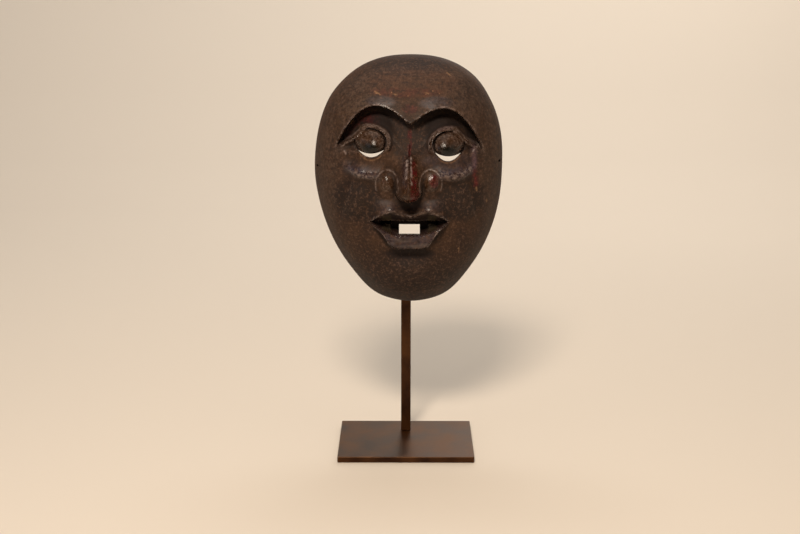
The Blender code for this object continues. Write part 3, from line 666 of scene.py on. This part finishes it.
# The slits under the eyeballs are crescents; a disc is shaped to each and drawn out into a bar
SLIT_STEPS = 24
BAR_LENGTH = 0.2
SLIT_MIDDLE = (SLIT_IN + SLIT_OUT) / 2
SLIT_HALF = (SLIT_OUT - SLIT_IN) / 2
for side in (-1.0, 1.0):
    end_h = SLIT_END_H - side * EYE_SKEW - EYE_H
    across = [-1.0 + 2.0 * i / SLIT_STEPS for i in range(SLIT_STEPS + 1)]
    lower_sag = SLIT_LOWER_SAG + SLIT_SKEW * side
    crescent = [(t * SLIT_HALF, end_h - lower_sag * (1.0 - t * t)) for t in across]
    crescent += [(t * SLIT_HALF, end_h - SLIT_UPPER_SAG * (1.0 - t * t)) for t in across[-2:0:-1]]
    bpy.ops.object.select_all(action="DESELECT")
    bpy.ops.mesh.primitive_circle_add(vertices=len(crescent), fill_type="NGON")
    bar = bpy.context.object
    for vertex, (x, y) in zip(bar.data.vertices, crescent):
        vertex.co = ((side * (SLIT_MIDDLE - EYE_U) + x) * MM, y * MM, -BAR_LENGTH / 2)
    bpy.ops.object.mode_set(mode="EDIT")
    bpy.ops.mesh.select_all(action="SELECT")
    bpy.ops.mesh.extrude_region_move(TRANSFORM_OT_translate={"value": (0.0, 0.0, BAR_LENGTH)})
    bpy.ops.mesh.select_all(action="SELECT")
    bpy.ops.mesh.normals_make_consistent(inside=False)
    bpy.ops.object.mode_set(mode="OBJECT")
    bar.rotation_euler = (pi / 2 - radians(SLIT_TILT), 0.0, 0.0)
    bar.location = to_world(side * EYE_U, EYE_H, SLIT_CUT_DEPTH)
    cut_out(bar)

# The mouth's opening is a plain block, cut through square to the face
bpy.ops.object.select_all(action="DESELECT")
bpy.ops.mesh.primitive_cube_add(size=1.0, location=to_world(0.0, MOUTH_OPENING_AT, MOUTH_CUT_DEPTH))
opening = bpy.context.object
opening.scale = (MOUTH_OPENING_W * MM, 2 * DOME * MM, MOUTH_OPENING_H * MM)
opening.rotation_euler = (-radians(MOUTH_TILT), 0.0, 0.0)
cut_out(opening)

# Each tie hole is drilled square to the wood, whose slope comes from two places a step away
TIE_STEP = 0.004
TIE_HOLE_SIDES = 20
for side, height in TIE_HEIGHTS.items():
    tie_angle = atan2(height - WIDEST_H, side * HALF_W)
    places = ((TIE_REACH, tie_angle), (TIE_REACH - TIE_STEP, tie_angle), (TIE_REACH, tie_angle + TIE_STEP))
    here, further_in, along_rim = (to_world(*on_face(*place)) for place in places)
    bpy.ops.object.select_all(action="DESELECT")
    bpy.ops.mesh.primitive_cylinder_add(
        vertices=TIE_HOLE_SIDES, radius=TIE_HOLE_R, depth=4 * WALL, location=here
    )
    drill = bpy.context.object
    out_of_wood = (here - further_in).cross(along_rim - here)
    drill.rotation_euler = out_of_wood.to_track_quat("Z", "Y").to_euler()
    cut_out(drill)

CREASE_ANGLE = radians(38.0)
bpy.ops.object.select_all(action="DESELECT")
bpy.context.view_layer.objects.active = mask
mask.select_set(True)
bpy.ops.object.shade_smooth_by_angle(angle=CREASE_ANGLE)

# Traces of paint and wear, with painted highlights, sheen and shade, in carving millimetres. A spot is its
# strength, u, h, half width, half
# height and, where it isn't 0.5, its edge's softness. A stroke is its strength, two ends and width.
SPOTS = {
    "red": (
        (0.8, 18.6, 108.0, 3.6, 5.5),
        (0.6, 0.0, 138.0, 1.8, 11.0),
        (0.35, 0.5, 162.0, 6.0, 3.6),
        (0.22, -4.0, 173.5, 26.0, 3.4),
    ),
    "red_nose": ((1.0, 3.2, 110.0, 2.6, 13.0),),
    "red_tip": ((0.8, 3.4, 100.0, 4.4, 6.0),),
    # Lilac painted highlight on the right lid's top
    "lilac_highlight": ((0.5, 24.0, 148.0, 9.0, 2.6),),
    # A greyer bluish tone with painted sheen where the tops face the light
    "slate_sheen": (
        (0.7, -22.0, 167.0, 11.0, 4.0),
        (0.7, 20.0, 166.0, 12.0, 4.5),
        (0.6, 28.0, 122.0, 18.0, 6.0),
        (0.5, -19.0, 88.0, 9.0, 5.0),
        (0.5, 19.0, 88.0, 9.0, 5.0),
    ),
    "warm": ((1.0, 2.0, 180.0, 34.0, 13.0), (0.5, 0.0, 22.0, 30.0, 12.0)),
    # Painted light: the upper face lighter
    "pale_and_lit": ((1.0, 0.0, 166.0, 70.0, 28.0, 0.8),),
    # Painted shade over the nose root, the cheeks and the chin
    "painted_shade": (
        (0.8, 0.0, 140.0, 14.0, 16.0),
        (1.0, -40.0, 92.0, 19.0, 17.0),
        (1.0, 40.0, 92.0, 19.0, 17.0),
        (0.9, 0.0, 36.0, 34.0, 20.0, 0.9),
    ),
    # Painted shade under the lower lip and under the nose
    "under": ((1.0, 0.0, 49.5, 20.0, 4.5), (0.8, 0.0, 88.5, 11.0, 4.0)),
    "flecked": ((1.0, -2.0, 173.2, 34.0, 2.2), (0.12, 0.0, 60.0, 60.0, 50.0)),
    "bead_shine": ((1.0, -17.5, 106.5, 5.5, 6.5), (1.0, 17.0, 106.5, 5.5, 6.5)),
    "nose_shine": ((1.2, 1.0, 112.0, 7.0, 16.0),),
    "nose": ((1.0, 0.0, 112.0, 9.0, 20.0),),
}
STROKES = {
    "red": ((0.8, (50.2, 114.0), (51.2, 103.0), 2.0),),
    # Lilac painted highlight down the right cheek, beside the red stripe
    "lilac_highlight": ((0.9, (49.0, 132.0), (50.0, 117.0), 2.0),),
    # Painted sheen along the bags' crests and the nose's left flank, on a greyer tone
    "slate_sheen": (
        (1.2, (-46.0, 116.5), (-27.0, 112.5), 4.5),
        (1.2, (25.0, 113.5), (46.0, 115.5), 4.5),
        (0.6, (-2.4, 126.0), (-3.8, 108.0), 2.6),
    ),
    # Painted highlights and glints, partly rubbed wear: the nose ridge's streaks, brow-edge glints, glints
    # by the mouth's and eyes' corners and on the upper lip's edge
    "rubbed_and_glints": (
        (1.0, (-1.9, 124.0), (-2.7, 112.0), 0.8),
        (0.9, (1.1, 126.0), (1.5, 108.0), 0.6),
        (0.6, (-28.6, 164.5), (-23.0, 164.9), 0.6),
        (0.6, (22.0, 163.2), (28.0, 163.0), 0.6),
        (0.8, (18.0, 74.6), (18.8, 74.8), 0.6),
        (0.8, (-22.2, 75.1), (-21.2, 75.2), 0.5),
        (0.8, (-50.0, 128.8), (-48.8, 126.8), 0.5),
        (0.8, (48.6, 128.6), (52.0, 131.6), 0.5),
        (0.8, (-17.8, 83.5), (-14.0, 85.0), 0.4),
        (0.8, (16.3, 82.9), (21.5, 81.9), 0.4),
        (0.8, (0.2, 80.6), (1.6, 80.6), 0.4),
    ),
}
# Painted highlights along the crests of the bags under the eyes
BAG_CREST_HIGHLIGHTS = (
    (((-45.2, 114.5), (-38.5, 112.1), 1.8), ((-38.5, 112.1), (-25.0, 109.8), 1.8)),
    (((22.5, 114.0), (33.6, 111.0), 1.6), ((33.6, 111.0), (46.7, 115.6), 1.8)),
)
LIP_SIDE, LIP_SIDE_W = ((27.5, 72.0), (20.5, 67.0), (16.6, 59.0), (13.8, 55.2)), 0.5
IRIS = (29.5, 131.2, 9.5, 6.4)
FRONT_DEPTH = 2.2
CREST_SPAN, CREST_FULL = 1.5, 0.6
PIT_SPAN, PIT_FULL = 3.5, 2.0
MOUTH_DARK_U = 29.0

# Every place's carving coordinates, how far it is to the side, and its height for the skewed eyes
places = np.array([vertex.co[:] for vertex in mask.data.vertices])
U = (places[:, 0] - MASK_X) / MM
H = (places[:, 2] - CHIN_Z) / MM
DEPTH = (RIM_Y - places[:, 1]) / MM
SIDE_U = np.abs(U)
EYE_LEVEL = H + EYE_SKEW * np.tanh(U / EYE_SKEW_W)


def past(x, start, length):
    """An eased step from 0 at the start to 1 a length further on."""
    return smooth((x - start) / length)


def face_depth(u, h):
    """The carved surface's depth over any place on the face."""
    straight = u - sway(h)
    angle = np.arctan2(h - WIDEST_H, straight)
    reach = np.clip(np.hypot(straight, h - WIDEST_H) / outline_radius(angle), 0.0, 1.0)
    return outer_depth(u, h, reach, angle)


def standing_out(span):
    """How far each place stands out from the ring of that radius around it, in millimetres."""
    turns = np.linspace(0.0, 2 * pi, 8, endpoint=False)
    around = [face_depth(U + span * np.cos(t), H + span * np.sin(t)) for t in turns]
    return face_depth(U, H) - np.mean(around, axis=0)


def spot(u, h, half_u, half_h, edge=0.5):
    return 1.0 - smooth((oval(U, H, u, h, half_u, half_h) - 1.0) / edge + 0.5)


def stroke(start, end, width):
    return bell(from_segment(U, H, start, end)[0] / width)


def laid_on(finish):
    """The strongest of a finish's spots and strokes at each place."""
    amounts = [strength * spot(*where) for strength, *where in SPOTS.get(finish, ())]
    amounts += [strength * stroke(*where) for strength, *where in STROKES.get(finish, ())]
    return np.maximum.reduce(amounts)


# Where the forms are: the rim, crests and pits, brow hollows, balls, lids, nostril wings and mouth
reach = np.hypot(U - sway(H), H - WIDEST_H) / outline_radius(np.arctan2(H - WIDEST_H, U - sway(H)))
front = smooth(DEPTH - face_depth(U, H) + FRONT_DEPTH)
inland = 1.0 - past(reach, 0.9, 0.06)
pit = np.clip(-standing_out(PIT_SPAN) / PIT_FULL, 0.0, 1.0) * inland
below = below_brow(U, EYE_LEVEL)
around_ball = oval(SIDE_U, EYE_LEVEL, *BALL[:4])
around_lid = oval(SIDE_U, EYE_LEVEL, *LID[:4])
beyond_lid = (around_lid - 1.0) * LID[2]
beyond_wing = (oval(np.abs(U - NOSE_U), H, *WING[:4]) - 1.0) * WING[2]
beyond_tail = from_path(SIDE_U, EYE_LEVEL, LID_TAIL)
# The brow hollows' dark is partly dark paint and partly painted shade; it is weaker near the brow's edge,
# where the carving throws its own shade
in_brow = past(below, 0.0, 1.0) * (1.0 - past(below, 16.0, 8.0))
in_brow *= past(EYE_LEVEL - through(SIDE_U, HOLLOW_FOOT), 2.0, 3.0) * past(SIDE_U, 9.0, 6.0)
in_brow *= past(around_lid, 1.10, 0.12) * (0.4 + 0.6 * past(below, 3.0, 6.0))
on_ball = 1.0 - past(around_ball, 0.92, 0.08)
lip_edge, lip_top, lip_floor, lip_foot = mouth_lines(U)
lip = past(H, lip_foot, 1.5) * (1.0 - past(H, lip_floor + 0.5, 1.0)) * (SIDE_U < MOUTH_END_U + 3.0)
in_mouth = past(H, lip_floor, 1.0) * (1.0 - past(H, lip_top + 4.0, 2.0)) * (SIDE_U < MOUTH_DARK_U)
under_lip_edge = smooth((lip_edge - H - 0.3) / 0.8) * past(H, lip_top - 1.0, 1.0) * (SIDE_U < MOUTH_DARK_U)
bag_crest_highlight = np.maximum(*(sum(stroke(*line) for line in side) for side in BAG_CREST_HIGHLIGHTS))
bag_crest_highlight = np.minimum(bag_crest_highlight, 1.0)
slit_sag = SLIT_LOWER_SAG * (1.0 - ((SIDE_U - SLIT_MIDDLE) / SLIT_HALF) ** 2)
slit_low = SLIT_END_H - EYE_SKEW * np.sign(U) - slit_sag

# Where each finish shows, 0 to 1: old red paint, rubbed edges, painted highlights, sheen and shade, darker
# pits, bare chips and waxy shine
red = np.maximum(laid_on("red"), 0.4 * in_brow * past(-U, 20.0, 14.0))
red = np.maximum(red, laid_on("red_nose") * past(U, 0.6, 1.0))
red = np.maximum(red, laid_on("red_tip") * past(U, -0.4, 1.6))
# Painted bluish sheen on a greyer tone: brow tops, under the right eye, bag crests, lip lobes, nose flank
# and lower lip
slate_sheen = np.maximum(laid_on("slate_sheen"), 0.8 * lip)
# Pale lines on the lids, the eye tails, the nostril rings and the lower lip's sides, and the listed
# strokes: painted highlights and glints, partly rubbed wear
lid_edge = bell((np.abs(beyond_lid) - 1.5) / 0.4) * (SIDE_U < LID_END_U) * (EYE_LEVEL > EYE_H - 6.0)
tail_edge = bell((beyond_tail - 1.4) / 0.4) * (SIDE_U > LID_END_U) * (around_ball > 1.05)
rubbed_and_glints = np.maximum(0.6 * lid_edge, 0.45 * tail_edge)
rubbed_and_glints = np.maximum(rubbed_and_glints, 0.5 * bell(beyond_wing / 0.45) * (H > WING[1] - 5.0))
rubbed_and_glints = np.maximum(rubbed_and_glints, 0.8 * bell(from_path(SIDE_U, H, LIP_SIDE) / LIP_SIDE_W))
rubbed_and_glints = np.maximum(rubbed_and_glints, laid_on("rubbed_and_glints"))
# The upper face and the sides are lighter: painted light from above, on a greyer tone
pale_and_lit = np.maximum(laid_on("pale_and_lit"), 0.9 * past(SIDE_U, 48.0, 14.0) * past(H, 60.0, 40.0))
# Painted shade: darker towards the chin, over the nose root and the cheeks, and darker towards the crown's
# top
painted_shade = np.maximum(0.7 * past(H, 182.0, 14.0), smooth((62.0 - H) / 40.0))
chipped = np.clip(1.4 * chip_depth(U, H), 0.0, 1.0)
slit_rim = bell((H - slit_low + 0.3) / 0.6) * (np.abs(SIDE_U - 30.0) < 8.5)
# Lighter on carved crests and along the bags' crests: painted highlight, partly worn edges
crest = np.clip(standing_out(CREST_SPAN) / CREST_FULL, 0.0, 1.0) * inland
shine = on_ball + laid_on("bead_shine") + 0.7 * slate_sheen + laid_on("nose_shine") + crest + rubbed_and_glints
crest = 0.6 * crest * (1.0 - lip) * (1.0 - bag_crest_highlight) * (1.0 - laid_on("nose"))
painted_on = {
    "crest": np.maximum(crest, bag_crest_highlight),
    "pit": pit,
    "brow_paint_and_shade": in_brow,
    "red": red,
    "lilac_highlight": laid_on("lilac_highlight"),
    "slate_sheen": slate_sheen,
    "iris": on_ball * (1.0 - past(oval(SIDE_U, EYE_LEVEL, *IRIS), 0.35, 0.9)),
    "warm": np.maximum(laid_on("warm"), past(reach, 0.955, 0.03)),
    "pale_and_lit": pale_and_lit,
    "tooth": in_mouth * past(SIDE_U, TOOTH_IN, 1.0) * smooth(TOOTH_OUT - SIDE_U),
    "painted_shade": np.maximum(painted_shade, laid_on("painted_shade")),
    # Painted shade inside the mouth, under the upper lip's edge, under the lower lip and under the nose
    "under": np.maximum.reduce([in_mouth, under_lip_edge, laid_on("under")]),
    "lip": lip,
    "flecked": laid_on("flecked"),
    "chipped": np.maximum(chipped, 0.7 * slit_rim),
    "rubbed_and_glints": rubbed_and_glints,
    "shine": np.clip(shine, 0.0, 1.0),
}
painted_on = {"front": front, **{name: values * front for name, values in painted_on.items()}}
for name, values in painted_on.items():
    attribute = mask.data.attributes.new(name, "FLOAT", "POINT")
    attribute.data.foreach_set("value", values.astype(np.float32))

# Soot and oil rubbed into carved wood: a thin dark brown film, blotchy over the fine grain, waxy on crests
# that hands touch, and gone at chips where the tan wood shows. Over it lie painted light and shade: paler,
# greyer tops and sheen where light falls, pale glints on edges, and dark in the brow hollows, the mouth,
# under the lips and nose, and over the lower face.
BLOTCH_MM = 24.0
MOTTLE_MM = 5.0
SPECK_MM = 2.2  # the pores are a fifth of this; drawn coarser so that they show
FLECK_MM = 3.4
GRAIN_MM = 1.8
BRUSH_MM = 1.9
GRAIN_STRETCH = (1.0, 1.0, 0.14)
BRUSH_STRETCH = (0.12, 0.5, 1.0)
FILM = [(0.34, "#2a190e"), (0.5, "#352112"), (0.66, "#402a18")]
BARE_WOOD = [(0.35, "#4a2f1c"), (0.65, "#6b482c")]
wood = bpy.data.materials.new("soot_blackened_carved_wood")
wood.use_nodes = True
tree = wood.node_tree
shader = tree.nodes["Principled BSDF"]
place = add(tree, "TexCoord").outputs["Object"]
blotch = add(tree, "TexNoise", {"Vector": place, "Scale": 1000 / BLOTCH_MM, "Detail": 4.0}).outputs[0]
mottle = add(
    tree, "TexNoise", {"Vector": place, "Scale": 1000 / MOTTLE_MM, "Detail": 5.0, "Roughness": 0.65}
).outputs[0]
speck = add(
    tree, "TexNoise", {"Vector": place, "Scale": 1000 / SPECK_MM, "Detail": 4.0, "Roughness": 0.75}
).outputs[0]
along_grain = add(tree, "Mapping", {"Vector": place, "Scale": GRAIN_STRETCH}).outputs[0]
grain = add(tree, "TexNoise", {"Vector": along_grain, "Scale": 1000 / GRAIN_MM, "Detail": 3.0}).outputs[0]
across = add(tree, "Mapping", {"Vector": place, "Scale": BRUSH_STRETCH}).outputs[0]
brushed = add(tree, "TexNoise", {"Vector": across, "Scale": 1000 / BRUSH_MM, "Detail": 3.0}).outputs[0]
dots = add(tree, "TexVoronoi", {"Vector": place, "Scale": 1000 / FLECK_MM, "Randomness": 1.0}).outputs[0]
fleck = add(tree, "MapRange", {0: dots, 1: 0.26, 2: 0.12, 3: 0.0, 4: 1.0}).outputs[0]
painted = {name: add(tree, "Attribute", attribute_name=name).outputs["Fac"] for name in painted_on}

colour = add(tree, "ValToRGB", {0: blotch}, FILM).outputs[0]
# Each layer over the film: where, how strongly, its colour, the pattern that breaks it up, its range
layers = (
    # Painted light over the upper face and sides, on a greyer tone
    ("pale_and_lit", 0.75, "#4a392d", mottle, 0.30, 0.60),
    ("warm", 0.75, "#4c2f1d", mottle, 0.30, 0.60),
    # Painted bluish sheen on a greyer tone
    ("slate_sheen", 0.85, "#38323a", mottle, 0.25, 0.60),
    # Lilac painted highlights
    ("lilac_highlight", 0.90, "#56404a", mottle, 0.25, 0.60),
    ("pale_and_lit", 0.45, "#2b1d15", brushed, 0.47, 0.57),
    # Painted shade
    ("painted_shade", 0.85, "#1b0f08", mottle, 0.20, 0.50),
    ("front", 0.50, "#62483a", speck, 0.53, 0.63),
    ("front", 0.60, "#150b06", speck, 0.46, 0.36),
    # Dark paint and painted shade in the brow hollows
    ("brow_paint_and_shade", 0.92, "#150a05", mottle, 0.05, 0.35),
    ("pit", 0.70, "#120805", mottle, 0.20, 0.50),
    # Painted shade in the mouth and under the lips and nose
    ("under", 0.92, "#190b06", mottle, 0.05, 0.35),
    ("red", 0.95, "#480a0e", mottle, 0.38, 0.56),
    ("red", 0.40, "#7c2620", speck, 0.52, 0.62),
    # Painted highlight on crests, partly worn edges
    ("crest", 0.80, "#7a6a62", speck, 0.45, 0.58),
    ("lip", 0.35, "#5c534e", brushed, 0.50, 0.62),
    ("iris", 0.92, "#080c08", mottle, 0.05, 0.30),
    ("tooth", 0.85, "#332a1c", mottle, 0.10, 0.40),
    ("flecked", 0.80, "#8a6042", fleck, 0.30, 0.90),
    # Painted highlights and glints on edges, partly rubbed wear
    ("rubbed_and_glints", 0.85, "#978680", grain, 0.40, 0.56),
    ("chipped", 0.90, "#7d5c40", speck, 0.30, 0.50),
)
for name, strength, shade, pattern, start, full in layers:
    amount = add(tree, "MapRange", {0: pattern, 1: start, 2: full, 3: 0.0, 4: strength}).outputs[0]
    amount = add(
        tree, "Math", {0: amount, 1: painted[name]}, operation="MULTIPLY", use_clamp=True
    ).outputs[0]
    colour = add(tree, "Mix", {0: amount, 6: colour, 7: linear(shade)}, data_type="RGBA").outputs[2]
bare = add(tree, "ValToRGB", {0: grain}, BARE_WOOD).outputs[0]
colour = add(tree, "Mix", {0: painted["front"], 6: bare, 7: colour}, data_type="RGBA").outputs[2]
tree.links.new(colour, shader.inputs["Base Color"])

# Soot is matt and waxed crests are shiny; pores, grain and brush lines are felt only in the bump
MATT = (0.66, 0.84)
WAXY = (0.16, 0.30)
PORE_SHARE, BRUSH_SHARE = 0.7, 0.4
matt = add(tree, "MapRange", {0: speck, 1: 0.3, 2: 0.7, 3: MATT[0], 4: MATT[1]}).outputs[0]
waxy = add(tree, "MapRange", {0: speck, 1: 0.35, 2: 0.65, 3: WAXY[0], 4: WAXY[1]}).outputs[0]
gloss = add(tree, "Mix", {0: painted["shine"], 2: matt, 3: waxy}).outputs[0]
tree.links.new(gloss, shader.inputs["Roughness"])
shader.inputs["Specular IOR Level"].default_value = 0.3
pores = add(tree, "Math", {0: speck, 1: PORE_SHARE, 2: grain}, operation="MULTIPLY_ADD").outputs[0]
pores = add(tree, "Math", {0: brushed, 1: BRUSH_SHARE, 2: pores}, operation="MULTIPLY_ADD").outputs[0]
bump = add(tree, "Bump", {"Height": pores, "Strength": 0.4, "Distance": 0.0006}).outputs[0]
tree.links.new(bump, shader.inputs["Normal"])
mask.data.materials.append(wood)

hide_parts("mask")
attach(mask, "root")
